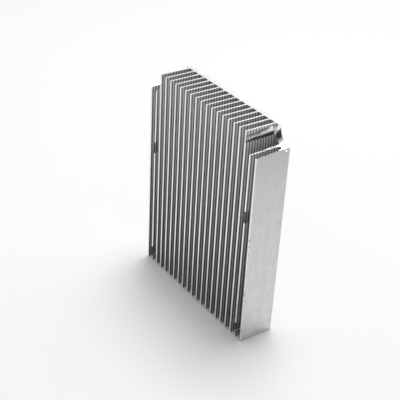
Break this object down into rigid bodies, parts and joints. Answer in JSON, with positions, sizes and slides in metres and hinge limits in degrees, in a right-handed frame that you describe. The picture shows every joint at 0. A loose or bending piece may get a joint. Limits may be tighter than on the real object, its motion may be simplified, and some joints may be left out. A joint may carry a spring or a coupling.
{
  "type": "extruded heat sink",
  "caption": "Comb-shaped extruded aluminium heat sink with ribbed fins on a flat base, notched upper corners and screw pockets.",
  "frame": {"origin": "middle of the lower sawn end, on the surface it stands on", "axes": "+Z along the extrusion, X across the row of fins, -Y towards the fin tips, +Y towards the flat back of the base"},
  "size_m": [0.0768, 0.0172, 0.1],
  "materials": {
    "aluminium": "bare extruded aluminium, mill finish, with sawn ends and milled notches"
  },
  "bodies": {
    "root": {"heat_sink": "aluminium"}
  },
  "joints": []
}
